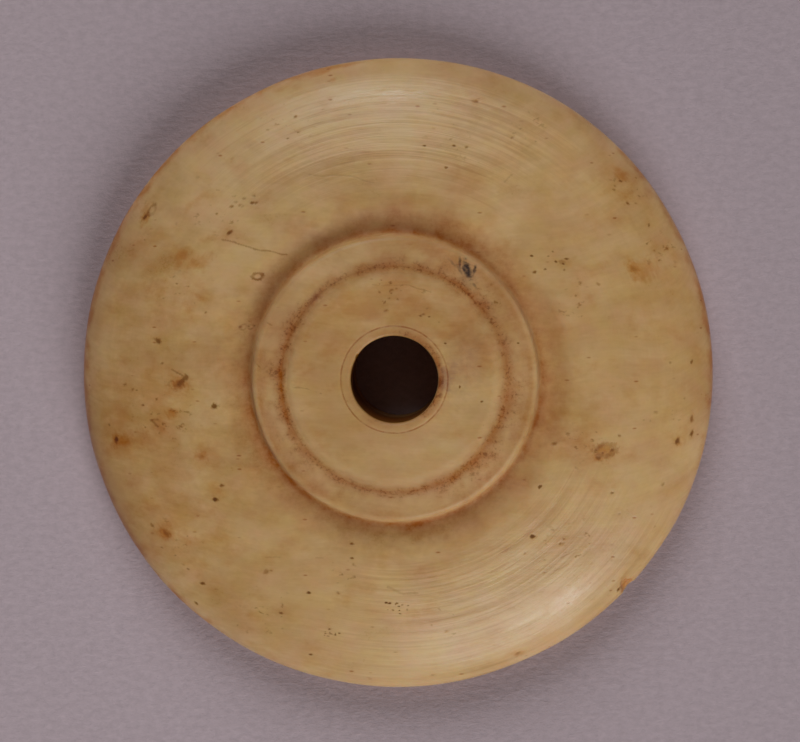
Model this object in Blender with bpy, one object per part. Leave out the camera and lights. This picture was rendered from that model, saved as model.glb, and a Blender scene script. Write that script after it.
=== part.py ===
# Turned bone spindle whorl: a broad domed disc with a stepped boss around the hole for the spindle's shaft.
# It lies on its flat underside at z = 0, and the hole runs along the Z axis.

import math

import bmesh
import bpy
from mathutils import Matrix, Vector

MM = 0.001  # one millimetre, in metres

# Driving dimensions. Heights are above the flat underside.
RIM_RADIUS = 22.0 * MM  # the widest line
RIM_HEIGHT = 2.1 * MM  # height of the widest line
BASE_RADIUS = 16.5 * MM  # edge of the flat underside
DOME_RISE = 5.6 * MM  # the dome's full arc would climb this far above the widest line
COVE_RADIUS = 12.5 * MM  # the dome begins to sink into the cove here
GROOVE_RADIUS = 10.35 * MM  # bottom of the cove, at the collar's foot
GROOVE_DEPTH = 0.55 * MM  # below the dome's own arc
COLLAR_RADIUS = 9.86 * MM
COLLAR_HEIGHT = 7.8 * MM
DISC_RADIUS = 7.64 * MM
DISC_HEIGHT = 8.3 * MM
SCRIBED_RADIUS = 3.69 * MM  # line cut around the hole
SCRIBED_WIDTH = 0.16 * MM
SCRIBED_DEPTH = 0.08 * MM
HOLE_RADIUS = 3.01 * MM
WEAR = 0.25 * MM  # radius that handling has worn on the arrises
DRAFT = 0.12 * MM  # how far each small wall leans back from foot to top

SEGMENTS = 96  # around the axis
DOME_STEPS = 11
COVE_STEPS = 5
UNDER_STEPS = 7
WEAR_STEPS = 2

# A chip struck from the rim
CHIP_BEARING = math.radians(-42.6)  # from +X, counter-clockwise seen from above
CHIP_SIZE = Vector((0.55, 0.66, 0.6)) * MM  # half extents: outwards, along the rim, upwards
CHIP_HEIGHT = 2.6 * MM
CHIP_REACH = 0.1 * MM  # its centre lies this far outside the widest line

BONE_COLOUR = (0.70, 0.42, 0.17, 1.0)
BONE_ROUGHNESS = 0.35


def clear_scene():
    for item in list(bpy.data.objects):
        bpy.data.objects.remove(item, do_unlink=True)


def arc(centre, radii, start, end, steps):
    """Points (radius, height) along an elliptical arc, with both its ends. Angles are in degrees."""
    points = []
    for step in range(steps + 1):
        angle = math.radians(start + (end - start) * step / steps)
        points.append((centre[0] + radii[0] * math.cos(angle), centre[1] + radii[1] * math.sin(angle)))
    return points


def worn_edge(corner, start, end):
    """A worn arris: a small round that meets both faces of a square corner. It runs from start to end, in degrees."""
    middle = math.radians((start + end) / 2)
    centre = (
        corner[0] - WEAR * math.copysign(1, math.cos(middle)),
        corner[1] - WEAR * math.copysign(1, math.sin(middle)),
    )
    return arc(centre, (WEAR, WEAR), start, end, WEAR_STEPS)


def dome_height(radius):
    return RIM_HEIGHT + DOME_RISE * math.sqrt(1 - (radius / RIM_RADIUS) ** 2)


def cove_height(radius):
    """The cove sinks smoothly away from the dome's arc, down to the groove at the collar's foot."""
    across = (radius - GROOVE_RADIUS) / (COVE_RADIUS - GROOVE_RADIUS)
    return dome_height(radius) - GROOVE_DEPTH * (1 + math.cos(math.pi * across)) / 2


def top_profile():
    """From the widest line up over the dome, down the cove, and up the two steps of the boss to the hole."""
    dome_end = math.degrees(math.acos(COVE_RADIUS / RIM_RADIUS))
    points = arc((0, RIM_HEIGHT), (RIM_RADIUS, DOME_RISE), 0, dome_end, DOME_STEPS)
    for step in range(1, COVE_STEPS + 1):
        radius = COVE_RADIUS + (GROOVE_RADIUS - COVE_RADIUS) * step / COVE_STEPS
        points.append((radius, cove_height(radius)))
    foot = cove_height(GROOVE_RADIUS)
    points.append((COLLAR_RADIUS + DRAFT, foot + 2 * WEAR))
    points += worn_edge((COLLAR_RADIUS, COLLAR_HEIGHT), 0, 90)
    points.append((DISC_RADIUS + 2 * DRAFT, COLLAR_HEIGHT))
    points += worn_edge((DISC_RADIUS, DISC_HEIGHT), 0, 90)
    points.append((SCRIBED_RADIUS + SCRIBED_WIDTH / 2, DISC_HEIGHT))
    points.append((SCRIBED_RADIUS, DISC_HEIGHT - SCRIBED_DEPTH))
    points.append((SCRIBED_RADIUS - SCRIBED_WIDTH / 2, DISC_HEIGHT))
    points += worn_edge((HOLE_RADIUS, DISC_HEIGHT), 90, 180)
    return points


def under_profile():
    """From the hole's lower edge out across the flat underside, and up to the widest line, which is left out."""
    points = worn_edge((HOLE_RADIUS, 0), 180, 270)
    bulge = (RIM_RADIUS - BASE_RADIUS, RIM_HEIGHT)
    points += arc((BASE_RADIUS, RIM_HEIGHT), bulge, -90, 0, UNDER_STEPS)[:-1]
    return points


def turned_mesh(name, points):
    """One turn of a closed profile about the Z axis."""
    shape = bmesh.new()
    corners = [shape.verts.new((radius, 0, height)) for radius, height in points]
    for index, corner in enumerate(corners):
        shape.edges.new((corners[index - 1], corner))
    bmesh.ops.spin(
        shape,
        geom=shape.verts[:] + shape.edges[:],
        cent=(0, 0, 0),
        axis=(0, 0, 1),
        angle=math.tau,
        steps=SEGMENTS,
        use_merge=True,
    )
    bmesh.ops.recalc_face_normals(shape, faces=shape.faces)
    mesh = bpy.data.meshes.new(name)
    shape.to_mesh(mesh)
    shape.free()
    return mesh


def bone():
    material = bpy.data.materials.new("bone")
    material.use_nodes = True
    shader = material.node_tree.nodes["Principled BSDF"]
    shader.inputs["Base Color"].default_value = BONE_COLOUR
    shader.inputs["Roughness"].default_value = BONE_ROUGHNESS
    shader.inputs["Metallic"].default_value = 0.0
    material.diffuse_color = BONE_COLOUR
    return material


def make_whorl():
    whorl = bpy.data.objects.new("whorl", turned_mesh("whorl", top_profile() + under_profile()))
    bpy.context.collection.objects.link(whorl)
    whorl.data.materials.append(bone())
    whorl.data.shade_smooth()
    whorl.data.set_sharp_from_angle(angle=math.radians(30))
    return whorl


def make_chip_cutter():
    """A faceted lump that bites a shallow, shell-shaped chip out of the rim."""
    shape = bmesh.new()
    bmesh.ops.create_icosphere(shape, subdivisions=2, radius=1.0)
    reach = RIM_RADIUS + CHIP_REACH
    place = (
        Matrix.Translation((reach * math.cos(CHIP_BEARING), reach * math.sin(CHIP_BEARING), CHIP_HEIGHT))
        @ Matrix.Rotation(CHIP_BEARING, 4, "Z")
        @ Matrix.Diagonal((*CHIP_SIZE, 1.0))
    )
    bmesh.ops.transform(shape, matrix=place, verts=shape.verts)
    mesh = bpy.data.meshes.new("chip_cutter")
    shape.to_mesh(mesh)
    shape.free()
    cutter = bpy.data.objects.new("chip_cutter", mesh)
    bpy.context.collection.objects.link(cutter)
    cutter.hide_render = True
    cutter.display_type = "WIRE"
    return cutter


def main():
    clear_scene()
    whorl = make_whorl()
    bite = whorl.modifiers.new("rim chip", "BOOLEAN")
    bite.operation = "DIFFERENCE"
    bite.solver = "EXACT"
    bite.object = make_chip_cutter()


main()
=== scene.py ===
import math
import random

import bmesh
import bpy
from mathutils import Matrix, Vector, kdtree, noise


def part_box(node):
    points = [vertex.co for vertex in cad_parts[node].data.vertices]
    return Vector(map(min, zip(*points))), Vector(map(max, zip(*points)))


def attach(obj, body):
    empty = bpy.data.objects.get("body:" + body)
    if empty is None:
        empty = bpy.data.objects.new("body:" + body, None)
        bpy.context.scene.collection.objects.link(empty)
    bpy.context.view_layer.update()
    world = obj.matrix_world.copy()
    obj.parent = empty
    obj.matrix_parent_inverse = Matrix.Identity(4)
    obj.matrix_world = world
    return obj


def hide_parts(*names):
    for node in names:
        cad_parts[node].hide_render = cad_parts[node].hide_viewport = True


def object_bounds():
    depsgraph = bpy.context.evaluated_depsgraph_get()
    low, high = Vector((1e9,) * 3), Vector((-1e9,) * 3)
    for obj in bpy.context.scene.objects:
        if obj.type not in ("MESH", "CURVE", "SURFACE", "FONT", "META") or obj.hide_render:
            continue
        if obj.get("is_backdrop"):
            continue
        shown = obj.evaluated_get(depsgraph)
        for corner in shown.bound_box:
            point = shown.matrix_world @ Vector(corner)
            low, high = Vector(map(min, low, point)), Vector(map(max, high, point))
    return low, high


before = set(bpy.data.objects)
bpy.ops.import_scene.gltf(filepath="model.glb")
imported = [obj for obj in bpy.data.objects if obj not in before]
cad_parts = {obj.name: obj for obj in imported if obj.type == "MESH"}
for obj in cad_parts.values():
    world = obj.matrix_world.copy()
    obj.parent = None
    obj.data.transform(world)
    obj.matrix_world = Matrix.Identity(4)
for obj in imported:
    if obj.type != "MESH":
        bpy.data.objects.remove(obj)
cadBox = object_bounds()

mm = 0.001  # the whorl is shaped in millimetres and brought to metres at the end
lowCorner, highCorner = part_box("whorl")
rimRadius = (highCorner.x - lowCorner.x) / 2 / mm
fullHeight = highCorner.z / mm


def direction(bearing, height=0.0):  # in degrees: round from +X towards +Y, and up from level
    bearing, height = math.radians(bearing), math.radians(height)
    level = math.cos(height)
    return Vector((math.cos(bearing) * level, math.sin(bearing) * level, math.sin(height)))


def placed(name, data):  # a new object in the scene, at the origin
    made = bpy.data.objects.new(name, data)
    bpy.context.scene.collection.objects.link(made)
    return made


# the camera looks almost straight down, leaning a little to the back right; distance and aim in millimetres
cameraSet = {"lean": 4.4, "leanTowards": 60, "distance": 388, "lens": 250, "aim": (0.16, 0.18, 2.1)}


def makeCamera(s):
    back = direction(s["leanTowards"], 90 - s["lean"])
    right = Vector((0, 1, 0)).cross(back).normalized()
    turn = Matrix((right, back.cross(right), back)).transposed().to_4x4()
    camera = placed("camera", bpy.data.cameras.new("camera"))
    camera.data.lens = s["lens"]
    camera.data.clip_start = 0.01
    camera.matrix_world = Matrix.Translation((Vector(s["aim"]) + back * s["distance"]) * mm) @ turn
    bpy.context.scene.camera = camera


lightSet = {
    "lamps": {
        "back": {"bearing": 98, "height": 38, "power": 1.13, "spread": 40},
        "front": {"bearing": -67, "height": 33, "power": 1.48, "spread": 41},
    },
    "room": 0.012,  # faint light from all round
}


def makeLights(s):
    for name, lamp in s["lamps"].items():
        light = placed(name + "Light", bpy.data.lights.new(name + "Light", "SUN"))
        light.data.energy = lamp["power"]
        light.data.angle = math.radians(lamp["spread"])
        towards = direction(lamp["bearing"], lamp["height"])
        turn = towards.to_track_quat("Z", "Y").to_matrix().to_4x4()
        light.matrix_world = Matrix.Translation(towards) @ turn
    room = bpy.data.worlds.new("room")
    room.use_nodes = True
    glow = room.node_tree.nodes["Background"].inputs
    glow["Color"].default_value = (1, 1, 1, 1)
    glow["Strength"].default_value = s["room"]
    bpy.context.scene.world = room
    bpy.context.scene.view_settings.view_transform = "Standard"


class Value:  # a node's output, ready to be used in sums
    def __init__(self, finish, socket):
        self.finish, self.socket = finish, socket

    def output(self, name):  # another output of the same node
        return Value(self.finish, self.socket.node.outputs[name])

    def __add__(self, other):
        return self.finish.maths("ADD", self, other)

    def __sub__(self, other):
        return self.finish.maths("SUBTRACT", self, other)

    def __rsub__(self, other):
        return self.finish.maths("SUBTRACT", other, self)

    def __mul__(self, other):
        return self.finish.maths("MULTIPLY", self, other)

    def __truediv__(self, other):
        return self.finish.maths("DIVIDE", self, other)

    def __rtruediv__(self, other):
        return self.finish.maths("DIVIDE", other, self)

    def __abs__(self):
        return self.finish.maths("ABSOLUTE", self)

    __radd__ = __add__
    __rmul__ = __mul__


class Finish:  # a material and its nodes
    def __init__(self, name):
        self.material = bpy.data.materials.new(name)
        self.material.use_nodes = True
        self.tree = self.material.node_tree
        self.tree.nodes.clear()

    def node(self, kind, settings, sockets, out=0):
        made = self.tree.nodes.new("ShaderNode" + kind)
        for name, value in settings.items():
            setattr(made, name, value)
        for name, value in sockets.items():
            if isinstance(value, Value):
                self.tree.links.new(value.socket, made.inputs[name])
            else:
                made.inputs[name].default_value = value
        return Value(self, made.outputs[out])

    def maths(self, operation, *values):
        return self.node("Math", {"operation": operation}, dict(enumerate(values)))

    def vector(self, operation, *values, out="Vector"):
        return self.node("VectorMath", {"operation": operation}, dict(enumerate(values)), out)

    def join(self, x, y, z):
        return self.node("CombineXYZ", {}, {"X": x, "Y": y, "Z": z})

    def step(self, value, start, end, least=0.0, most=1.0):  # a soft step from least to most
        sockets = {"Value": value, "From Min": start, "From Max": end, "To Min": least, "To Max": most}
        return self.node("MapRange", {"interpolation_type": "SMOOTHSTEP"}, sockets)

    def mix(self, amount, a, b, blend="MIX"):  # sockets 6 and 7 are the two colours, output 2 the mixed one
        settings = {"data_type": "RGBA", "blend_type": blend}
        return self.node("Mix", settings, {0: amount, 6: a, 7: b}, 2)

    def noise(self, place, detail, rough=0.5, scale=1.0):
        sockets = {"Vector": place, "Scale": scale, "Detail": detail, "Roughness": rough}
        return self.node("TexNoise", {}, sockets)

    def bump(self, height):  # from heights in millimetres
        return self.node("Bump", {}, {"Strength": 1.0, "Distance": mm, "Height": height})

    def shade(self, values):
        surface = self.node("BsdfPrincipled", {}, values)
        output = self.tree.nodes.new("ShaderNodeOutputMaterial")
        self.tree.links.new(surface.socket, output.inputs["Surface"])
        return self.material


def turned(line, turns, closed=True):  # a line of (radius, height) points, turned about the Z axis
    shape = bmesh.new()
    points = [shape.verts.new((radius, 0, height)) for radius, height in line]
    pairs = list(zip(points[-1:] + points, points))
    for before, after in pairs if closed else pairs[1:]:
        shape.edges.new((before, after))
    ring = shape.verts[:] + shape.edges[:]
    bmesh.ops.spin(
        shape, geom=ring, cent=(0, 0, 0), axis=(0, 0, 1), angle=math.tau, steps=turns, use_merge=True)
    bmesh.ops.remove_doubles(shape, verts=shape.verts, dist=0.0001)
    bmesh.ops.recalc_face_normals(shape, faces=shape.faces)
    return shape


def finished(name, shape):
    mesh = bpy.data.meshes.new(name)
    shape.to_mesh(mesh)
    shape.free()
    mesh.shade_smooth()
    return placed(name, mesh)


# the whorl's turned form, in millimetres
whorlForm = {
    "rimHeight": 2.1,  # of the widest line
    "baseRadius": 16.5,  # edge of the flat underside
    "domeRise": 5.6,
    "coveRadius": 12.5,  # the dome sinks into the cove here
    "grooveRadius": 10.35,
    "grooveDepth": 0.55,
    "grooveRound": 0.4,  # at the collar's foot
    "collarRadius": 9.86,
    "collarHeight": 7.7,
    "collarWear": 0.42,
    "collarInner": 7.98,  # the collar's top climbs a little towards the disc
    "discRadius": 7.64,
    "discFoot": 0.3,  # the disc's foot spreads this far over the collar
    "discShoulder": (1.18, 0.9),  # radii of the disc's worn edge, outwards and upwards
    "discInset": 1.0,  # where the worn edge reaches the disc's top
    "discDish": 0.05,
    "scribedRadius": 3.69,
    "scribedDepth": 0.035,
    "scribedWidth": 0.16,
    "holeRadius": 3.01,
    "wear": 0.2,
    "turns": 286,
}


def arc(centre, radii, start, end, steps=40):
    points = []
    for step in range(steps + 1):
        angle = math.radians(start + (end - start) * step / steps)
        points.append((centre[0] + radii[0] * math.cos(angle), centre[1] + radii[1] * math.sin(angle)))
    return points


def evenly(line, spacing):  # the same line with evenly spaced points, both ends kept
    lengths = [0.0]
    for before, after in zip(line, line[1:]):
        lengths.append(lengths[-1] + math.dist(before, after))
    count = max(1, round(lengths[-1] / spacing))
    points, at = [], 0
    for step in range(count + 1):
        along = lengths[-1] * step / count
        while at < len(line) - 2 and lengths[at + 1] < along:
            at += 1
        part = (along - lengths[at]) / (lengths[at + 1] - lengths[at])
        points.append(tuple(a + (b - a) * part for a, b in zip(line[at], line[at + 1])))
    return points


def domeHeight(radius, s=whorlForm):
    return s["rimHeight"] + s["domeRise"] * math.sqrt(max(0, 1 - (radius / rimRadius) ** 2))


def coveHeight(radius, s=whorlForm):
    across = (radius - s["grooveRadius"]) / (s["coveRadius"] - s["grooveRadius"])
    return domeHeight(radius) - s["grooveDepth"] * (1 + math.cos(math.pi * across)) / 2


def whorlProfile(s):
    cove, groove, hollow = s["coveRadius"], s["grooveRadius"], s["grooveRound"]
    collar, level, worn = s["collarRadius"], s["collarHeight"], s["collarWear"]
    disc, inner, shoulder, top = s["discRadius"], s["collarInner"], s["discShoulder"], fullHeight
    scribed, half = s["scribedRadius"], s["scribedWidth"] / 2
    hole, wear, base, rim = s["holeRadius"], s["wear"], s["baseRadius"], s["rimHeight"]
    coveEnd = math.degrees(math.acos(cove / rimRadius))
    coveSteps = [cove + (groove - cove) * step / 20 for step in range(21)]
    foot = coveHeight(groove) + hollow
    discFoot = (disc + s["discFoot"], inner)
    inset = disc - s["discInset"]
    dish = ((disc + scribed) / 2, top - s["discDish"])
    cut = (scribed, top - s["scribedDepth"])
    # each stretch: the line it follows, and how far apart its points lie
    stretches = [
        (arc((0, rim), (rimRadius, s["domeRise"]), 0, coveEnd), 0.138),
        ([(radius, coveHeight(radius)) for radius in coveSteps], 0.16),
        (arc((groove, foot), (hollow, hollow), 270, 180), 0.1),
        ([(groove - hollow, foot), (collar, level - worn)], 0.16),
        (arc((collar - worn, level - worn), (worn, worn), 0, 90), 0.08),
        ([(collar - worn, level), discFoot], 0.17),
        ([discFoot, (disc + 0.12, inner + 0.02), (disc + 0.02, top - 0.16)], 0.09),
        (arc((inset, top - shoulder[1]), shoulder, 48, 90, 28), 0.09),
        ([(inset, top), dish], 0.18),
        ([dish, (scribed + half, top - 0.01)], 0.18),
        ([(scribed + half, top - 0.01), cut], 0.05),
        ([cut, (scribed - half, top)], 0.05),
        ([(scribed - half, top), (hole + wear, top)], 0.14),
        (arc((hole + wear, top - wear), (wear, wear), 90, 180), 0.07),
        ([(hole, top - wear), (hole, wear)], 0.6),
        (arc((hole + wear, wear), (wear, wear), 180, 270), 0.09),
        ([(hole + wear, 0.0), (base, 0.0)], 0.6),
        (arc((base, rim), (rimRadius - base, rim), 270, 360), 0.35),
    ]
    profile = []
    for line, spacing in stretches:
        profile += evenly(line, spacing)[:-1]  # the next stretch starts where this one ends
    return profile


# what the whorl has been through, in millimetres seen from above with +Y up the page
# the marks that stand out are put in one by one, to the half millimetre; the lesser ones are scattered
# each pit: x, y, length, turn in degrees, how dark, how rusty its surround
pits = [
    (-12.5, -2.0, 0.60, 15, 0.8, 0.2),
    (-12.5, -8.5, 0.50, 5, 0.9, 0.5),
    (-12.0, -7.5, 0.36, 0, 0.7, 0.2),
    (-13.5, -14.5, 0.45, -15, 0.8, 0.1),
    (-14.5, -13.5, 0.30, 0, 0.6, 0.2),
    (-14.0, -16.0, 0.45, -50, 0.7, 0.3),
    (-9.0, -13.5, 0.55, 10, 0.5, 0.4),
    (-8.0, -16.5, 0.32, 0, 0.7, 0.2),
    (-6.0, -15.0, 0.36, 0, 0.9, 0.1),
    (-6.0, -19.5, 0.32, 0, 0.8, 0.1),
    (-3.0, -11.5, 0.32, -10, 0.7, 0.0),
    (-3.0, -12.5, 0.28, 0, 0.7, 0.0),
    (2.5, -21.0, 0.45, 5, 0.4, 0.3),
    (8.5, -19.5, 0.50, 35, 0.5, 0.7),
    (9.5, -11.0, 0.50, 10, 0.9, 0.1),
    (11.5, -11.5, 0.45, 15, 0.4, 0.1),
    (15.5, -15.0, 0.45, 60, 0.9, 0.0),
    (18.0, -10.5, 0.30, 20, 0.4, 0.1),
    (15.5, -9.5, 0.28, 0, 0.4, 0.1),
    (10.0, -7.5, 0.36, 15, 0.8, 0.1),
    (15.0, -8.0, 0.36, 0, 0.7, 0.1),
    (18.5, -7.5, 0.40, 15, 0.5, 0.1),
    (11.0, -4.5, 0.45, 20, 0.6, 0.3),
    (14.0, -5.5, 0.50, -10, 0.65, 0.7),
    (15.0, -5.0, 0.50, 20, 0.65, 0.7),
    (15.5, -4.0, 0.30, 0, 0.6, 0.1),
    (19.5, -4.5, 0.60, 60, 0.75, 0.6),
    (20.5, -4.0, 0.50, 60, 0.75, 0.6),
    (20.5, -3.0, 0.50, 80, 0.6, 0.6),
    (20.0, -1.5, 0.24, 0, 0.5, 0.2),
    (20.5, 1.0, 0.34, 70, 0.7, 0.1),
    (19.0, 1.0, 0.24, 0, 0.5, 0.1),
    (14.0, 6.5, 0.40, -15, 0.5, 0.1),
    (11.5, 8.0, 0.60, -10, 0.4, 0.2),
    (16.5, 7.5, 0.80, -40, 0.35, 0.9),
    (17.5, 8.0, 0.50, 75, 0.4, 0.6),
    (18.5, 9.0, 0.30, 60, 0.5, 0.1),
    (17.5, 10.5, 0.34, 70, 0.7, 0.2),
    (16.0, 12.0, 0.34, -20, 0.7, 0.3),
    (15.5, 13.5, 0.28, 0, 0.7, 0.5),
    (8.0, 16.5, 0.32, 30, 0.5, 0.1),
    (5.5, 19.0, 0.50, -10, 0.5, 0.6),
    (2.0, 16.0, 0.26, 0, 0.8, 0.1),
    (4.0, 16.0, 0.26, 0, 0.8, 0.1),
    (3.5, 14.5, 0.32, 0, 0.7, 0.2),
    (-7.5, 16.5, 0.28, 0, 0.6, 0.2),
    (-7.0, 18.0, 0.36, 25, 0.6, 0.2),
    (-11.5, 10.0, 0.55, 20, 0.75, 0.5),
    (-17.5, 11.0, 0.60, 60, 0.7, 1.0),
    (-16.5, 2.5, 0.60, -30, 0.7, 0.3),
    (-15.0, -0.5, 1.10, 35, 0.5, 0.6),
    (-18.0, -1.0, 0.20, 0, 0.6, 0.1),
    (-17.5, -2.0, 0.20, 0, 0.6, 0.1),
    (-20.0, -3.5, 0.24, 0, 0.6, 0.2),
    (-19.5, -4.5, 0.55, 70, 0.75, 0.9),
    (-13.5, -5.5, 0.60, 5, 0.3, 0.7),
    (-17.0, -10.5, 0.40, -30, 0.6, 0.4),
    (-16.0, -11.0, 0.75, -30, 0.5, 0.8),
    (4.5, -0.5, 0.26, 80, 0.8, 0.0),
    (6.0, -1.5, 0.24, 10, 0.8, 0.1),
    (3.5, 2.5, 0.20, 0, 0.8, 0.1),
    (8.5, 2.5, 0.20, 0, 0.8, 0.1),
    (9.0, -4.0, 0.30, 60, 0.5, 0.1),
    (2.0, 4.5, 0.26, 10, 0.5, 0.2),
    (-1.0, 6.0, 0.26, -20, 0.5, 0.2),
]
# ring-shaped ones, dark around a paler middle: x, y, length, width, turn, how dark
ringPores = [
    (-9.5, 7.0, 0.85, 0.50, 5, 0.7),
    (-15.5, -0.5, 0.60, 0.45, 0, 0.4),
    (-17.0, 11.5, 0.85, 0.60, 55, 0.6),
    (-10.5, 3.5, 0.60, 0.40, 20, 0.5),
    (-10.0, 3.5, 0.50, 0.35, 10, 0.5),
    (14.5, -5.0, 1.60, 1.00, 5, 0.5),
]
# flecks lying close together: x, y, how far they spread, how many, size, how dark
flecks = [
    (-4.5, -18.0, 0.6, 12, 0.15, 0.9),
    (0.0, -16.0, 0.9, 14, 0.16, 1.3),
    (-10.0, 3.5, 0.6, 3, 0.20, 0.7),
    (5.5, 6.0, 0.7, 6, 0.17, 0.6),
    (-10.5, 12.5, 1.3, 8, 0.30, 0.9),
    (14.5, -5.0, 0.7, 4, 0.26, 0.6),
    (10.5, 8.0, 1.6, 8, 0.26, 0.8),
    (16.0, 13.0, 1.2, 4, 0.22, 0.6),
    (-0.5, 6.0, 1.1, 9, 0.19, 0.7),
    (2.5, 4.5, 1.0, 5, 0.20, 0.6),
    (-5.5, 5.5, 0.4, 6, 0.18, 0.8),
]
# where fine flecks and lesser pores are scattered: x, y, reach, how thickly
flecked = [
    (0.5, 6.0, 2.5, 0.9),
    (6.5, 5.0, 2.0, 0.7),
    (12.5, 5.5, 2.5, 0.8),
    (16.0, 13.0, 2.0, 0.7),
    (18.0, 9.0, 2.5, 0.8),
    (9.0, 17.0, 2.5, 0.5),
    (-12.5, 11.5, 4.5, 0.5),
    (-7.5, 17.5, 3.0, 0.6),
    (-17.0, 11.0, 2.0, 0.6),
    (-15.0, 6.0, 3.0, 0.6),
    (-16.0, -2.5, 4.0, 0.8),
    (-15.0, -11.5, 3.0, 0.7),
    (-9.0, -16.5, 3.5, 0.7),
    (-3.5, -13.5, 2.0, 0.6),
    (12.5, -12.0, 4.0, 0.7),
    (13.0, -4.5, 3.0, 0.7),
    (18.5, -2.0, 3.0, 0.6),
    (3.5, 15.5, 4.0, 0.4),
    (3.5, -17.0, 3.5, 0.4),
    (7.5, -3.0, 3.0, 0.4),
]
# lines cut or cracked into the surface: width, depth, how dark, then the places they run through
cracks = [
    (0.08, 0.030, 0.50, (-12.0, 9.5), (-10.0, 9.0), (-7.5, 8.5)),
    (0.07, 0.015, 0.32, (-6.0, 14.0), (-3.5, 14.0), (-1.5, 13.5)),
    (0.08, 0.020, 0.35, (7.5, 13.5), (8.0, 14.0)),
    (0.12, 0.010, 0.35, (-0.5, -14.5), (0.5, -15.0), (1.5, -15.0)),
    (0.08, 0.030, 0.50, (-15.5, 0.5), (-14.5, 0.0)),
    (0.22, 0.030, 0.65, (-14.5, 0.0), (-15.0, -0.5)),
    (0.10, 0.030, 0.50, (-17.0, -3.0), (-16.5, -3.5)),
    (0.08, 0.030, 0.45, (-17.0, -3.0), (-16.5, -3.0)),
    (0.06, 0.020, 0.40, (-9.5, 1.0), (-9.0, 0.5)),
    (0.06, 0.020, 0.40, (-9.0, 4.0), (-8.0, 3.5)),
    (0.06, 0.015, 0.40, (-7.5, -0.5), (-6.5, -0.5), (-5.0, -1.0)),
    (0.06, 0.010, 0.24, (5.0, 1.5), (5.0, 0.0)),
    (0.07, 0.010, 0.35, (1.0, 6.5), (2.5, 6.0)),
    (0.07, 0.010, 0.30, (-9.0, -12.5), (-8.0, -12.5)),
    (0.07, 0.010, 0.30, (-5.5, -12.5), (-5.0, -12.5)),
    (0.07, 0.010, 0.25, (10.5, -11.0), (12.0, -11.0)),
    (0.07, 0.010, 0.35, (11.5, -12.5), (12.5, -12.0)),
    (0.07, 0.010, 0.30, (11.0, -13.5), (12.0, -13.0)),
    (0.07, 0.010, 0.30, (13.0, -12.5), (13.5, -12.0)),
    (0.06, 0.010, 0.30, (-1.5, 6.5), (-0.5, 6.5), (1.0, 6.5)),
]
# stains without relief: x, y, length, width, turn, strength
rustStains = [
    (-15.0, -0.5, 1.5, 1.0, 30, 0.7),
    (-19.0, -4.5, 1.6, 0.9, 10, 0.8),
    (-18.0, -4.0, 2.8, 1.2, 10, 0.45),
    (-15.5, -2.5, 1.0, 0.8, 10, 0.7),
    (-16.5, -3.5, 2.4, 1.5, 0, 0.4),
    (-13.5, -5.5, 2.2, 0.9, 5, 0.25),
    (-12.5, -8.0, 2.4, 1.6, 20, 0.25),
    (-15.5, -11.0, 3.2, 1.8, -30, 0.45),
    (3.0, -18.5, 1.6, 0.9, 0, 0.2),
    (8.0, -19.5, 1.6, 0.8, 20, 0.4),
    (16.0, -14.5, 1.2, 1.0, 45, 0.3),
    (12.0, -4.5, 2.6, 1.1, 20, 0.35),
    (14.5, -5.0, 2.2, 1.4, 10, 0.6),
    (20.0, -4.0, 2.0, 1.0, 70, 0.4),
    (13.5, 5.5, 1.2, 0.5, 15, 0.3),
    (17.0, 7.5, 2.8, 2.0, 20, 0.6),
    (16.5, 7.0, 1.1, 0.7, -40, 0.6),
    (18.0, 8.0, 1.6, 1.0, 40, 0.4),
    (16.0, 12.5, 1.8, 1.3, -60, 0.45),
    (15.5, 14.0, 1.5, 0.9, -45, 0.65),
    (6.0, 19.0, 2.0, 0.9, -15, 0.4),
    (-4.0, 21.5, 3.4, 0.8, 12, 0.7),
    (-5.5, 21.0, 2.2, 0.9, 18, 0.6),
    (-8.0, 20.0, 2.0, 0.9, 25, 0.4),
    (-4.5, 20.5, 0.8, 0.6, 60, 0.6),
    (-17.0, 13.5, 2.2, 0.8, 50, 0.4),
    (-17.5, 11.5, 1.1, 0.8, 40, 0.6),
    (-14.5, 11.5, 1.6, 0.6, 65, 0.4),
    (-13.5, 12.5, 1.4, 0.6, 25, 0.4),
    (-15.0, 8.0, 2.8, 0.9, 65, 0.45),
    (-13.0, 9.5, 1.8, 0.7, 15, 0.45),
    (-13.5, 5.5, 2.2, 0.6, -30, 0.4),
    (-13.5, 8.0, 2.4, 1.4, 20, 0.45),
    (-14.5, 5.0, 2.6, 1.0, -60, 0.35),
    (-16.0, 6.5, 4.0, 2.0, 35, 0.4),
    (-5.5, 5.5, 1.5, 0.8, 50, 0.35),
]
# a blot of ink on the collar, with a few strokes beside it
inkMarks = [
    (5.0, 7.5, 1.3, 0.6, 105, 1.0),
    (5.5, 7.5, 0.8, 0.2, 75, 0.9),
    (4.5, 8.0, 0.9, 0.2, 90, 0.7),
    (4.0, 8.0, 0.7, 0.2, -50, 0.4),
    (4.5, 7.5, 0.9, 0.2, -60, 0.5),
    (5.5, 6.5, 0.5, 0.2, -55, 0.5),
    (5.0, 7.0, 1.6, 1.0, -60, 0.2),
]
# rubbed to a shine, and painted paler there as a painted highlight: x, y, length, width, turn, strength
polishedAndPaintedHighlight = [
    (12.0, -15.5, 3.0, 1.1, 38, 0.8),
    (0.0, 19.5, 3.6, 0.7, -2, 1.0),
    (-2.5, 19.5, 4.0, 0.9, 8, 0.5),
    (9.0, -17.0, 3.0, 0.6, 28, 0.5),
]
# purplish stains: x, y, length, width, turn, strength
blushMarks = [
    (3.5, 0.0, 2.2, 1.0, 90, 1.0),
    (4.0, 0.5, 1.8, 1.0, 80, 0.8),
    (4.5, 1.0, 5.0, 3.2, 70, 0.4),
    (-5.5, 5.5, 1.3, 0.6, 45, 1.0),
]
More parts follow.
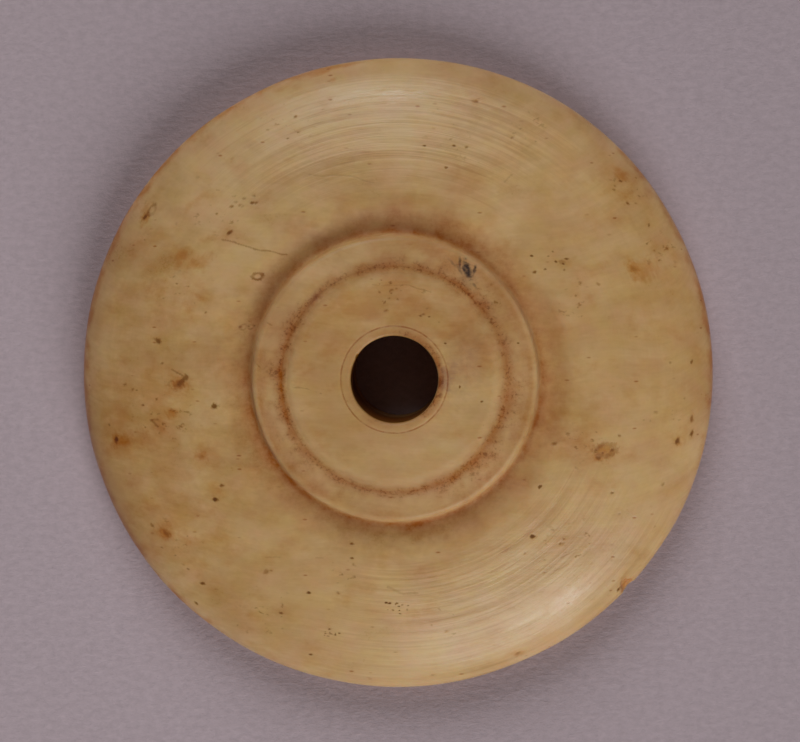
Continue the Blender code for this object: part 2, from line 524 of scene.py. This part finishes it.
# rings where dirt has settled, together with painted shade in the cove and the creases round the boss: each
# with its darkest radius, reach in and out, depth of colour all round, and the bearings where there is more
# of it: bearing, degrees either side, how much more
dirtAndShadeRings = [
    {"at": 10.2, "inner": 0.4, "outer": 2.8, "evenly": 0.30, "more": [
        (92, 60, 0.27), (150, 25, 0.10), (208, 32, 0.32), (270, 28, 0.24), (345, 40, 0.2)]},
    {"at": 11.0, "inner": 0.7, "outer": 1.6, "evenly": 0.0, "more": [
        (268, 24, 0.3), (60, 20, 0.2), (195, 35, 0.16)]},
    {"at": 10.1, "inner": 0.3, "outer": 0.6, "evenly": 0.18, "more": [
        (80, 45, 0.15), (270, 40, 0.30), (210, 30, 0.24), (325, 30, 0.15), (0, 30, 0.10)]},
    {"at": 7.85, "inner": 0.8, "outer": 1.1, "evenly": 0.22, "more": [
        (55, 30, 0.26), (170, 38, 0.32), (20, 30, 0.14), (92, 22, 0.10), (225, 40, 0.20), (325, 45, 0.38)]},
    {"at": 7.8, "inner": 0.3, "outer": 0.5, "evenly": 0.22, "more": [
        (165, 40, 0.15), (90, 40, 0.1), (275, 45, 0.15)]},
    {"at": 9.4, "inner": 1.4, "outer": 0.5, "evenly": 0.08, "more": [
        (205, 55, 0.42), (20, 45, 0.20), (55, 30, 0.24), (320, 45, 0.42)]},
    {"at": 3.2, "inner": 0.7, "outer": 0.5, "evenly": 0.19, "more": [
        (38, 50, 0.54), (335, 35, 0.42), (225, 40, 0.1), (270, 40, 0.1)]},
]
# the stain round the rim, deepened on its left side (about 195 degrees) as painted shade: the radius where it
# starts, over how far it deepens, and then as above
rimStainAndShade = {"inner": 21.2, "over": 0.9, "evenly": 0.12, "more": [
    (140, 40, 0.6), (195, 40, 0.65), (30, 25, 0.4), (355, 25, 0.4)]}
# broad patches, those along the rim being painted light at its top and bottom, which face the lamps, and
# painted shade on its sides: x, y, reach, how much lighter, how much warmer
patches = [
    (0.0, 20.0, 9.0, 0.24, -0.3),
    (-9.5, 17.5, 7.0, 0.20, -0.2),
    (-12.0, 12.0, 11.0, 0.24, -0.1),
    (-21.5, -4.0, 6.5, -0.34, 0.1),
    (-20.0, -10.0, 5.0, -0.42, 0.1),
    (22.0, 1.0, 5.5, -0.28, 0.0),
    (-21.0, 6.0, 5.0, -0.18, 0.0),
    (-10.0, -13.0, 9.0, -0.10, 0.0),
    (7.5, 12.5, 7.0, 0.12, 0.0),
    (6.0, -15.0, 9.0, -0.06, 0.0),
    (1.0, -21.5, 7.0, 0.22, -0.3),
    (-15.5, 6.0, 5.5, 0.10, 0.9),
    (-17.0, -2.5, 6.5, 0.02, 0.9),
    (-15.0, -10.5, 6.5, -0.05, 0.8),
    (-11.5, -6.0, 4.5, 0.0, 0.4),
    (-9.0, -17.5, 4.0, -0.10, 0.3),
    (12.5, -3.5, 4.0, -0.10, 0.7),
    (11.0, 16.0, 8.0, 0.10, -0.1),
    (16.0, 12.5, 3.5, -0.10, 0.5),
    (10.0, -15.0, 9.0, 0.05, -0.4),
    (0.0, -18.0, 6.0, 0.05, -0.2),
    (11.0, -19.5, 5.0, 0.46, -0.6),
    (-12.0, 7.0, 3.5, 0.18, -0.2),
    (-15.5, 9.5, 3.5, -0.12, 0.3),
    (-11.0, 18.5, 4.0, 0.14, 0.0),
    (7.0, 12.0, 3.5, 0.10, 0.0),
    (12.0, 7.0, 4.0, 0.10, 0.0),
    (0.0, 14.0, 4.0, 0.10, 0.0),
    (17.0, -9.5, 4.0, 0.14, -0.2),
    (-3.5, 5.0, 4.0, 0.05, 0.7),
    (0.5, 5.5, 6.0, -0.08, 0.9),
    (-4.0, -3.0, 6.0, -0.24, 0.1),
    (6.0, 2.5, 4.5, -0.15, 0.8),
    (-5.5, 2.0, 4.0, -0.12, 0.5),
    (0.0, -5.5, 4.5, 0.04, -0.3),
]
# knocks that took bone away: where, their length along the edge, height and depth, and how rusty they are
chips = {
    "rim": {
        "bearing": -42.5, "radius": rimRadius - 0.1, "height": 2.6,
        "long": 1.4, "tall": 2.0, "deep": 0.45, "rusty": 0.75,
    },
    "hole": {
        "bearing": 148, "radius": 3.0, "height": 8.05,
        "long": 0.5, "tall": 0.5, "deep": 0.22, "rusty": 0.0,
    },
}


def chipPlace(chip):
    bearing = math.radians(chip["bearing"])
    return Vector((chip["radius"] * math.cos(bearing), chip["radius"] * math.sin(bearing), chip["height"]))


def topHeight(radius, s=whorlForm):
    if radius < s["discRadius"]:
        return fullHeight
    if radius < s["collarRadius"]:
        return s["collarHeight"]
    return coveHeight(radius) if radius < s["coveRadius"] else domeHeight(radius)


def surfaceAt(x, y):  # point and normal on the upper face
    radius = math.hypot(x, y)
    slope = 0.0  # the boss is nearly level
    if radius >= whorlForm["collarRadius"]:
        gap = 0.05
        slope = (topHeight(radius + gap) - topHeight(radius - gap)) / (2 * gap)
    normal = Vector((-slope * x / radius, -slope * y / radius, 1)).normalized()
    return Vector((x, y, topHeight(radius))), normal


def frameAt(x, y, turn):
    point, normal = surfaceAt(x, y)
    along = direction(turn)
    along = (along - normal * along.dot(normal)).normalized()
    return point, along, normal.cross(along)


def treeOf(points):
    tree = kdtree.KDTree(len(points))
    for index, point in enumerate(points):
        tree.insert(point, index)
    tree.balance()
    return tree


def refine(shape, places, rounds=2):  # finer faces around each place: (point, reach)
    for turn in range(rounds):
        faces = shape.faces[:]
        tree = treeOf([face.calc_center_median() for face in faces])
        wider, margin = 1.25 - 0.25 * turn, 0.12 / (turn + 1)  # each round keeps closer to the marks
        chosen = set()
        for point, reach in places:
            for _, index, _ in tree.find_range(point, reach * wider + margin):
                chosen.update(faces[index].edges)
        edges = [edge for edge in shape.edges if edge in chosen]  # in the mesh's own order
        bmesh.ops.subdivide_edges(shape, edges=edges, cuts=1, use_grid_fill=True)
    manySided = [face for face in shape.faces if len(face.verts) > 4]
    bmesh.ops.triangulate(shape, faces=manySided)


def lineDistance(point, start, end):
    run = end - start
    part = min(1, max(0, (point - start).dot(run) / run.length_squared))
    return (point - start - run * part).length


def fade(value):
    value = min(1, max(0, value))
    return value * value * (3 - 2 * value)


tooled = {"back": 93, "front": -66}  # bearings where the lathe's marks are clearest, which face the two lamps
# how far each part wanders from its turned form, in millimetres:
# the lathe's ripples and its fine cuts, then broad and small unevenness left by handling
relief = {
    "underside": (0.008, 0.0, 0.0, 0.0),
    "bore": (0.0, 0.0, 0.0, 0.01),
    "boss": (0.006, 0.0, 0.012, 0.003),
    "dome": (0.006, 0.003, 0.035, 0.007),
}


def ringNoise(bearing, along, around=0.5):  # noise drawn out round the axis
    return noise.noise(Vector((math.cos(bearing) * around, math.sin(bearing) * around, along)))


def outOfRound(bearing):
    return 0.12 * ringNoise(bearing, 4.0, 0.9)


def turnedness(bearing, radius):  # how much of the lathe's marks was never rubbed away
    nearest = max(math.cos(bearing - math.radians(at)) for at in tooled.values())
    return (0.25 + fade((nearest - 0.62) / 0.36)) * fade((radius - whorlForm["coveRadius"] + 0.5) / 2)


def partAt(point, radius, s=whorlForm):
    if point.z < 1.0 and radius > s["holeRadius"] + 0.3:
        return "underside"
    if radius < s["holeRadius"] + 0.02:
        return "bore"
    return "boss" if radius < s["collarRadius"] + 0.2 else "dome"


def wornRelief(point, bearing, radius):
    ways = (
        ringNoise(bearing, radius * 1.3 + point.z),
        ringNoise(bearing, radius * 2.4) * turnedness(bearing, radius),
        noise.noise(point * 0.22 + Vector((3, 7, 1))),
        noise.noise(point * 0.8 + Vector((11, 2, 5))),
    )
    return sum(amount * way for amount, way in zip(relief[partAt(point, radius)], ways))


def pit(x, y, long, turn, dark, rusty):  # with its width and depth
    return (x, y, long, long * 0.65, turn, long * 0.12, dark, rusty)


def scattered(dice, x, y, reach, squash=1.0):
    angle, away = dice.uniform(0, math.tau), reach * math.sqrt(dice.random())
    return x + away * math.cos(angle), y + away * math.sin(angle) * squash


def everyPit():
    dice = random.Random(11)
    spots = [pit(*row) for row in pits]
    for x, y, reach, count, size, dark in flecks:
        for _ in range(count):
            at = scattered(dice, x, y, reach, 0.7)
            long, turn = size * dice.uniform(0.7, 1.4), dice.uniform(-25, 25)
            spots.append(pit(*at, long, turn, dark * dice.uniform(0.4, 1.1), 0.0))
    for x, y, reach, thickly in flecked:
        for _ in range(round(reach * thickly)):
            at = scattered(dice, x, y, reach * 0.9)
            long, turn = dice.uniform(0.16, 0.34), dice.uniform(-30, 40)
            spots.append(pit(*at, long, turn, dice.uniform(0.25, 0.6), 0.3))
    return spots


def crackPath(line):  # in short steps over the surface, wandering a little
    path = []
    for x, y in evenly(line, 0.3):
        drift = 0.15 * noise.noise(Vector((x * 0.9, y * 0.9, 2.0))) * min(1, math.dist(line[0], line[-1]) / 3)
        path.append(surfaceAt(x, y + drift)[0])
    return path


def markPlaces(spots):
    places = [(surfaceAt(x, y)[0], max(long, wide) * 0.7) for x, y, long, wide, *_ in spots]
    places += [(surfaceAt(x, y)[0], long * 0.7) for x, y, long, *_ in ringPores]
    for wide, _, _, *line in cracks:
        places += [(Vector(point), wide + 0.04) for point in evenly(crackPath(line), 0.15)]
    places += [(chipPlace(chip), chip["long"] * 0.75) for chip in chips.values()]
    places += [(surfaceAt(x, y)[0], long * 0.6) for x, y, long, *_ in inkMarks]
    return places


stains = ("grime", "rust", "ink", "blush", "dirt", "paler", "warmer", "flecked", "glossAndPaintedSheen")
# marks that only stain: the stain, its list, how far past its size it reaches, how crisp and how ragged it is
flatMarks = (
    ("rust", rustStains, 1.5, 0.8, 1.0),
    ("ink", inkMarks, 1.4, 1.0, 1.0),
    ("blush", blushMarks, 1.4, 1.0, 1.0),
    ("glossAndPaintedSheen", polishedAndPaintedHighlight, 1.4, 1.0, 1.4),
)


class Surface:  # the whorl's vertices: how far each has moved, and what has stained it
    def __init__(self, shape):
        self.layers = {name: shape.verts.layers.float.new(name) for name in stains}
        shape.normal_update()
        self.verts = shape.verts[:]
        self.tree = treeOf([vert.co for vert in self.verts])
        self.moved = [0.0] * len(self.verts)

    # the vertices by a mark, and how far out from its middle each lies
    def near(self, x, y, long, wide, turn, reach=1.0, ragged=1.0):
        point, along, across = frameAt(x, y, turn)
        for place, index, _ in self.tree.find_range(point, max(long, wide) / 2 * reach * 1.6):
            away = place - point
            rough = 1 + ragged * (0.45 * noise.noise(place * 4.5) + 0.3 * noise.noise(place * 11))
            out = math.hypot(away.dot(along) / long * 2, away.dot(across) / wide * 2) * rough / reach
            yield index, out

    def stain(self, name, index, amount):
        vert, layer = self.verts[index], self.layers[name]
        vert[layer] = max(vert[layer], amount)


def sinkPits(surface, spots):
    for x, y, long, wide, turn, deep, dark, rusty in spots:
        for index, out in surface.near(x, y, long, wide, turn):
            surface.moved[index] -= deep * 0.35 * fade(1.3 - out)
            surface.stain("grime", index, dark * fade((1.5 - out) * 0.85))
        if rusty:
            for index, out in surface.near(x, y, long, wide, turn, 3.0):
                surface.stain("rust", index, rusty * fade(1.15 - out) * 0.8)
    for x, y, long, wide, turn, dark in ringPores:
        for index, out in surface.near(x, y, long, wide, turn, ragged=0.4):
            edge = fade(1.3 - 2.2 * abs(out - 0.85)) * (0.8 + 0.5 * noise.noise(surface.verts[index].co * 2))
            surface.moved[index] -= 0.01 * edge
            surface.stain("grime", index, dark * edge)


def layFlatMarks(surface):
    for name, marks, reach, crisp, ragged in flatMarks:
        for x, y, long, wide, turn, strength in marks:
            for index, out in surface.near(x, y, long, wide, turn, ragged=ragged):
                surface.stain(name, index, strength * fade((reach - out) * crisp))


def openCracks(surface):
    for wide, deep, dark, *line in cracks:
        path = crackPath(line)
        for start, end in zip(path, path[1:]):
            reach = (end - start).length / 2 + wide
            for place, index, _ in surface.tree.find_range((start + end) / 2, reach):
                near = lineDistance(place, start, end) / wide * (1 + 0.5 * noise.noise(place * 5))
                amount = fade(1.4 - near)
                surface.moved[index] = min(surface.moved[index], -deep * 0.3 * amount)
                surface.stain("grime", index, dark * amount)


def biteChips(surface):
    for chip in chips.values():
        middle = chipPlace(chip)
        outward = Vector((middle.x, middle.y, 0)).normalized()
        around = Vector((-outward.y, outward.x, 0))
        for place, index, _ in surface.tree.find_range(middle, chip["long"]):
            away = place - middle
            rough = 1 + 0.25 * noise.noise(place * 3)
            out = math.hypot(away.dot(around) / chip["long"] * 2, away.z / chip["tall"] * 2) * rough
            surface.moved[index] -= fade(1.6 * (1 - out)) * chip["deep"]
            surface.stain("rust", index, chip["rusty"] * fade(1.5 - out))


def strengthAt(ring, degrees):
    strength = ring["evenly"]
    for at, reach, more in ring["more"]:
        strength += more * fade(1.2 - abs((degrees - at + 180) % 360 - 180) / reach * 0.8)
    return strength


def dirtAndShadeAt(point, bearing, radius):
    if point.z < 5.0 or radius < whorlForm["holeRadius"] + 0.02:
        return 0.0
    total = 0.0
    for number, ring in enumerate(dirtAndShadeRings):
        broad = noise.noise(point * 0.7 + Vector((number * 9, 0, 0)))
        drift = 1 + 0.5 * broad + 0.3 * noise.noise(point * 2.1)
        away = radius - ring["at"]
        near = fade(1 - abs(away) / ((ring["outer"] if away > 0 else ring["inner"]) * drift))
        uneven = 1 + 0.35 * noise.noise(point * 1.1 + Vector((0, number * 7, 0)))
        total += near * strengthAt(ring, math.degrees(bearing)) * uneven
    return total


def polar(point):  # bearing and radius about the Z axis
    return math.atan2(point.y, point.x), math.hypot(point.x, point.y)


def coverAll(surface):  # dirt with painted shade, the stain round the rim, and the broad patches, some of them painted light and shade
    dirty, paleness, warmth = (surface.layers[name] for name in ("dirt", "paler", "warmer"))
    for index, vert in enumerate(surface.verts):
        bearing, radius = polar(vert.co)
        vert[dirty] = dirtAndShadeAt(vert.co, bearing, radius)
        # the rim's stain, on its left side partly painted shade
        atRim = fade((radius - rimStainAndShade["inner"]) / rimStainAndShade["over"]) * (1 + noise.noise(vert.co * 1.3))
        surface.stain("rust", index, atRim * strengthAt(rimStainAndShade, math.degrees(bearing)))
        # the broad patches, including painted light and shade along the rim
        for x, y, reach, paler, warmer in patches:
            near = fade(1 - math.hypot(vert.co.x - x, vert.co.y - y) / reach)
            vert[paleness] += paler * near
            vert[warmth] += warmer * near
        for x, y, reach, thickly in flecked:
            near = fade(1 - math.hypot(vert.co.x - x, vert.co.y - y) / reach)
            surface.stain("flecked", index, thickly * near)


def moveAll(surface):
    for vert, moved in zip(surface.verts, surface.moved):
        bearing, radius = polar(vert.co)
        outward = Vector((math.cos(bearing), math.sin(bearing), 0))
        shift = outOfRound(bearing) * fade((radius - 12) / 10)
        worn = moved + wornRelief(vert.co, bearing, radius)
        vert.co = vert.co + vert.normal * worn + outward * shift
        vert.co.z = max(0.0, vert.co.z)  # nothing sinks below the ground


def makeWhorl():
    shape = turned(whorlProfile(whorlForm), whorlForm["turns"])
    print("whorl turned:", len(shape.faces), "faces")
    spots = everyPit()
    refine(shape, markPlaces(spots))
    print("whorl refined around its marks:", len(shape.faces), "faces")
    surface = Surface(shape)
    sinkPits(surface, spots)
    layFlatMarks(surface)
    openCracks(surface)
    biteChips(surface)
    coverAll(surface)
    moveAll(surface)
    print("whorl stained and worn")
    bmesh.ops.scale(shape, vec=(mm, mm, mm), verts=shape.verts)
    return finished("turnedWhorl", shape)


boneSet = {
    "honey": (0.645, 0.37, 0.140, 1),
    "cream": (0.90, 0.615, 0.300, 1),
    # the colour of the painted highlight on the polished places
    "sheen": (1.0, 0.80, 0.55, 1),
    "yellow": (1.0, 1.0, 0.87, 1),  # from here on, what each stain, and each painted shade, lets through
    "rose": (1.0, 0.92, 0.95, 1),
    "amber": (0.84, 0.66, 0.43, 1),
    "rust": (0.80, 0.50, 0.17, 1),
    "dirt": (0.58, 0.25, 0.0, 1),
    "soot": (0.36, 0.19, 0.0, 1),
    "brown": (0.57, 0.42, 0.16, 1),
    "core": (0.42, 0.30, 0.05, 1),
    # the next two paint shade, with some grime, down the hole's wall
    "bore": (0.50, 0.37, 0.06, 1),
    "deepBoreShade": (0.48, 0.30, 0.14, 1),
    "ink": (0.08, 0.075, 0.11, 1),
    "blush": (0.62, 0.50, 0.62, 1),
    # how much each thing lightens the bone
    "tone": {"streaks": 0.4, "fine": 0.25, "rings": 0.34, "bands": 0.3, "paintedHighlightBand": 0.16, "glossAndPaintedSheen": 0.26},
    # how strong a tint may get
    "most": {
        "amber": 0.7, "sheen": 0.45, "shadedDirt": 0.8, "line": 0.68,
        "leftRimShade": 0.14, "specks": 0.7, "dots": 0.85,
    },
    # how rough it is when bare, and what each thing adds or, in the case of gloss, takes away
    "rough": {
        "bare": 0.30, "cloud": 0.12, "grit": 0.08, "dirt": 0.45, "grime": 0.4,
        "glossAndPaintedSheen": 0.17, "boss": 0.13, "discEdge": 0.3, "collarEdge": 0.35,
    },
    # relief too fine for the mesh, in millimetres
    "relief": {"rings": 0.034, "bands": 0.008, "fine": 0.006, "grit": 0.003, "specks": 0.01},
}
# unevenness: what it follows, its scale along each direction, an offset on the last, detail and roughness
boneNoises = {
    "streaks": ("layers", (0.07, 0.7, 0.1), 0.0, 4.0, 0.6),
    "fine": ("layers", (0.6, 4.5, 1.0), 0.0, 3.0, 0.6),
    "cloud": ("bone", (0.24, 0.3, 0.3), 0.0, 6.0, 0.62),
    "hue": ("bone", (0.45, 0.6, 0.5), 20.0, 4.0, 0.6),
    "flush": ("bone", (0.4, 0.5, 0.4), 40.0, 4.0, 0.6),
    "mottle": ("bone", (0.5, 0.7, 0.6), 0.0, 5.0, 0.62),
    "grit": ("bone", (5.0, 5.0, 5.0), 0.0, 3.0, 0.6),
    "clumps": ("bone", (1.6, 1.6, 1.6), 0.0, 4.0, 0.65),
    "crowd": ("bone", (1.7, 2.2, 1.7), 0.0, 2.5, 0.55),
    "rings": ("lathe", (0.9, 0.9, 3.9), 0.0, 4.0, 0.8),
    "bands": ("lathe", (1.2, 1.2, 1.1), 9.0, 2.0, 0.5),
    "gaps": ("lathe", (3.0, 3.0, 1.0), 0.0, 2.0, 0.5),
    "scratches": ("lathe", (3.0, 3.0, 2.6), 5.0, 2.0, 0.6),
}


class BoneFinish(Finish):  # the bone, what the lathe left on it, and what has settled on it since
    def __init__(self, s, form):
        super().__init__("polishedBone")
        self.s, self.form = s, form
        inMetres = self.node("TexCoord", {}, {}, "Object")
        self.place = self.vector("MULTIPLY", inMetres, (1 / mm, 1 / mm, 1 / mm))
        split = self.node("SeparateXYZ", {}, {0: self.place})
        self.x, self.y, self.z = (split.output(axis) for axis in "XYZ")
        self.radius = self.vector("LENGTH", self.join(self.x, self.y, 0.0), out="Value")
        self.across, self.up = self.x / self.radius, self.y / self.radius  # cosine and sine of the bearing
        self.marks = {name: self.node("Attribute", {"attribute_name": name}, {}, "Fac") for name in stains}
        # layers of bone, cut through by the dome, run lengthwise along X and bend with its curve
        layer = self.y + self.z * 0.7 + self.noise(self.place, 1.0, scale=0.09) * 3.5
        follows = {
            "bone": self.place,
            "layers": self.join(self.x, layer, self.z),
            "lathe": self.join(self.across, self.up, self.radius),
        }
        self.uneven = {}
        for name, (followed, scales, offset, detail, rough) in boneNoises.items():
            spot = self.vector("MULTIPLY_ADD", follows[followed], scales, (0.0, 0.0, offset))
            self.uneven[name] = self.noise(spot, detail, rough)

    def tint(self, amount, name):  # like a glaze over the colour so far
        self.colour = self.mix(amount, self.colour, self.s[name], "MULTIPLY")

    def latheClearness(self):  # rings left by the lathe's tool, broken where they were rubbed away; clearest on the bearings facing the lamps, so their colour there is partly painted glints
        clear = 0.08
        for bearing in tooled.values():
            towards = direction(bearing)
            facing = self.across * towards.x + self.up * towards.y
            clear = self.step(facing + (self.uneven["cloud"] - 0.5) * 0.4, 0.70, 0.98) + clear
        cove = self.form["coveRadius"]
        clear = clear * self.step(self.radius, cove - 0.5, cove + 1.5)
        # stronger across the band at the back where the lamps' highlight falls: painted glints
        outer = self.step(self.radius, 14.6, 16.0, 0.5, 1.35) * self.step(self.radius, 21.4, 20.2)
        return clear * (1 + (outer - 1) * self.step(self.y, -4.0, 4.0))

    def paintBone(self, clear):
        s, marks, n, much = self.s, self.marks, self.uneven, self.s["tone"]
        tone = 0.5 + (n["cloud"] - 0.5) * self.step(self.x, -6.0, -14.0, 1.0, 1.45)
        tone = tone + (n["streaks"] - 0.5) * much["streaks"] + (n["fine"] - 0.5) * much["fine"]
        # the rings in colour, strongest where the lamps catch them, are partly painted glints
        arcs = (self.step(n["rings"], 0.36, 0.64) - 0.5) * much["rings"]
        arcs = arcs + (n["bands"] - 0.5) * much["bands"]
        paintedHighlightBand = self.step(self.radius, 15.6, 16.0) * self.step(self.y, 11.0, 15.0)  # a painted highlight along a lathe ridge, at the back
        arcs = arcs + paintedHighlightBand * much["paintedHighlightBand"] - 0.03
        # the polished places are painted lighter too: a painted highlight
        tone = tone + arcs * clear + marks["paler"] + marks["glossAndPaintedSheen"] * much["glossAndPaintedSheen"] - self.y * 0.005
        self.colour = self.mix(self.step(tone, 0.0, 1.0), s["honey"], s["cream"])
        self.tint(self.step(n["hue"], 0.35, 0.7), "yellow")
        self.tint(self.step(n["flush"], 0.35, 0.7), "rose")
        amber = self.step(n["mottle"] + marks["warmer"] * 0.24, 0.46, 0.84)
        self.tint(amber * s["most"]["amber"], "amber")
        scratches = self.step(n["scratches"], 0.62, 0.72) * clear
        self.tint(scratches * self.step(self.radius, 17.0, 14.0, 0.16, 0.36), "dirt")

    def settleDirtAndShade(self):  # dirt with painted shade, broken up finely, and in the line scribed round the hole
        s, most, marks = self.s, self.s["most"], self.marks
        clumps, grit = self.uneven["clumps"], self.uneven["grit"]
        dirt = marks["dirt"] * (0.9 + (clumps - 0.5) + (grit - 0.5) * 0.4)
        line = self.step(abs(self.radius - self.form["scribedRadius"]), 0.09, 0.02)
        line = line * self.step(clumps, 0.38, 0.62, 0.45, 1.0)
        dirt = dirt + line * self.step(self.z, 5.0, 6.0) * most["line"]
        # painted shadow: left of the collar, past its foot, the dirt's colour turns a darker, plainer brown
        shadedDirt = self.step(self.radius, 10.4, 11.2) * self.step(self.across + self.up * 0.6, 0.0, -0.7)
        settled = self.mix(shadedDirt * most["shadedDirt"], s["dirt"], s["brown"])
        self.colour = self.mix(self.maths("MINIMUM", dirt, 1.0), self.colour, settled, "MULTIPLY")
        crumbs = self.step(clumps * 0.35 + grit * 0.65, 0.50, 0.64) * self.step(marks["dirt"], 0.18, 0.65)
        self.tint(crumbs * self.step(self.radius, 9.2, 8.6, 0.06, 0.6), "soot")
        return dirt

    def paintEdgeShade(self):  # painted shade: on the rim's left side, and, with grime, down the hole's wall
        # painted shade on the rim's left side, where little lamp light reaches
        leftRimShade = self.step(self.radius, 20.3, 21.9) * self.step(self.across, -0.6, -0.95)
        self.tint(leftRimShade * self.s["most"]["leftRimShade"], "brown")
        # painted shade and grime down the hole's wall
        wall = self.step(self.radius, self.form["holeRadius"] + 0.15, self.form["holeRadius"] + 0.02)
        darkened = self.step(self.z, 8.35, 7.9) * self.step(self.z, 2.0, 4.0, 0.35, 1.0)
        self.tint(wall * darkened, "bore")
        self.tint(wall * self.step(self.z, 8.3, 7.2) * self.step(self.z, 1.5, 3.5, 0.1, 1.0), "deepBoreShade")

    def stainMarks(self):
        marks, mottle, grit = self.marks, self.uneven["mottle"] - 0.5, self.uneven["grit"] - 0.5
        # painted highlight: the polished places are painted towards the sheen colour along the lathe's rings
        sheen = marks["glossAndPaintedSheen"] * self.step(self.uneven["rings"], 0.40, 0.60, 0.25, 1.0)
        self.colour = self.mix(sheen * self.s["most"]["sheen"], self.colour, self.s["sheen"])
        rust = self.step(marks["rust"] + mottle * 0.8 + grit * 0.25, 0.1, 1.0)
        self.tint(rust * self.step(marks["rust"], 0.02, 0.2), "rust")
        self.tint(marks["blush"] * self.step(self.uneven["clumps"], 0.3, 0.7, 0.3, 0.9), "blush")
        dark = self.step(marks["grime"] + grit * 0.3, 0.05, 0.8)
        self.tint(dark, "brown")
        self.tint(self.step(marks["grime"] + grit * 0.2, 0.4, 1.0), "core")
        self.tint(self.maths("MINIMUM", marks["ink"] * (0.9 + grit * 1.2), 1.0), "ink")
        return dark

    def openPores(self):  # small natural ones, drawn out along the grain, and crowded dots
        grain = self.vector("MULTIPLY", self.place, (0.6, 1.5, 1.0))
        cell = self.node("TexVoronoi", {"feature": "F1"}, {"Vector": grain, "Scale": 1.1}, "Distance")
        pick = self.node("SeparateColor", {}, {0: cell.output("Color")}, "Red")
        specks = self.step(cell, 0.16, 0.04) * self.step(pick, 0.6, 0.9)
        self.tint(specks * self.s["most"]["specks"], "dirt")
        flecks = self.marks["flecked"]
        dots = self.step(self.uneven["crowd"] + flecks * 0.05, 0.63, 0.78) * self.step(flecks, 0.02, 0.5)
        self.tint(dots * self.s["most"]["dots"], "brown")
        return specks, dots

    def roughness(self, dirt, dark, dots):  # the boss was never handled as much as the dome
        n, form, radius, much = self.uneven, self.form, self.radius, self.s["rough"]
        rough = much["bare"] + (n["cloud"] - 0.5) * much["cloud"] + (n["grit"] - 0.5) * much["grit"]
        rough = rough + dirt * much["dirt"] + (dark + dots) * much["grime"]
        rough = rough - self.marks["glossAndPaintedSheen"] * much["glossAndPaintedSheen"] + self.step(radius, 10.8, 9.6) * much["boss"]
        rough = rough + self.step(abs(radius - (form["discRadius"] - 0.3)), 0.6, 0.25) * much["discEdge"]
        # the collar's edge is polished towards the front right and the back left
        unpolished = self.step(abs(self.across * 0.53 - self.up * 0.85), 0.95, 0.7)
        collarEdge = self.step(abs(radius - (form["collarRadius"] - 0.2)), 0.6, 0.3) * unpolished
        return rough + collarEdge * much["collarEdge"]

    def complete(self):
        n, deep, clear = self.uneven, self.s["relief"], self.latheClearness()
        self.paintBone(clear)
        dirt = self.settleDirtAndShade()
        self.paintEdgeShade()
        dark = self.stainMarks()
        specks, dots = self.openPores()
        rings = n["rings"] * self.step(n["gaps"], 0.3, 0.6, 0.35, 1.0)
        height = (rings * deep["rings"] + n["bands"] * deep["bands"]) * clear
        height = height + n["fine"] * deep["fine"] + n["grit"] * deep["grit"] - specks * deep["specks"]
        return self.shade({
            "Base Color": self.colour,
            "Roughness": self.roughness(dirt, dark, dots),
            "IOR": 1.49,
            "Subsurface Weight": 0.25,
            "Subsurface Radius": (1.0, 0.5, 0.22),
            "Subsurface Scale": 0.0008,
            "Normal": self.bump(height),
        })


# a wide sheet of paper that curves up at its edge; lengths in metres
floorSet = {
    "flatRadius": 1.6,
    "curve": 0.9,
    "colour": (0.70, 0.567, 0.614, 1),
    "paintedShade": (0.87, 0.87, 0.87, 1),  # painted shade away from the front left, where the floor gets less light
    "fibreShade": 0.84,
    "fibreScale": (1500, 2600, 1000),
    "fibreHeight": 0.09,  # in millimetres
    "roughness": 0.9,
}


def makeFloor(s):
    edge = arc((s["flatRadius"], s["curve"]), (s["curve"], s["curve"]), 270, 320)
    shape = turned([(0.0, 0.0), (s["flatRadius"] / 2, 0.0)] + edge, 96, closed=False)
    if sum(face.normal.z for face in shape.faces) < 0:
        bmesh.ops.reverse_faces(shape, faces=shape.faces)
    floor = finished("paleFloor", shape)
    f = Finish("palePaper")
    spot = f.node("TexCoord", {}, {}, "Object")
    fibres = f.noise(f.vector("MULTIPLY", spot, s["fibreScale"]), 6.0, 0.72)
    shaded = tuple(part * s["fibreShade"] for part in s["colour"][:3]) + (1,)
    colour = f.mix(f.step(fibres, 0.28, 0.72), shaded, s["colour"])
    # painted shade: the floor is dimmer away from the front left
    away = f.vector("DOT_PRODUCT", spot, (0.7, 0.7, 0), out="Value")
    colour = f.mix(f.step(away, -0.05, 0.05), colour, s["paintedShade"], "MULTIPLY")
    bump = f.bump(fibres * s["fibreHeight"])
    paper = f.shade({"Base Color": colour, "Roughness": s["roughness"], "Normal": bump})
    floor.data.materials.append(paper)
    floor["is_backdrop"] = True


makeCamera(cameraSet)
makeLights(lightSet)
makeFloor(floorSet)
print("camera, lights and floor are in place")

whorl = makeWhorl()
whorl.data.materials.append(BoneFinish(boneSet, whorlForm).complete())
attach(whorl, "root")
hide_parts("whorl")
print("whorl finished:", sum(len(face.vertices) - 2 for face in whorl.data.polygons), "triangles")

[[list(corner) for corner in box] for box in (cadBox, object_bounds())]
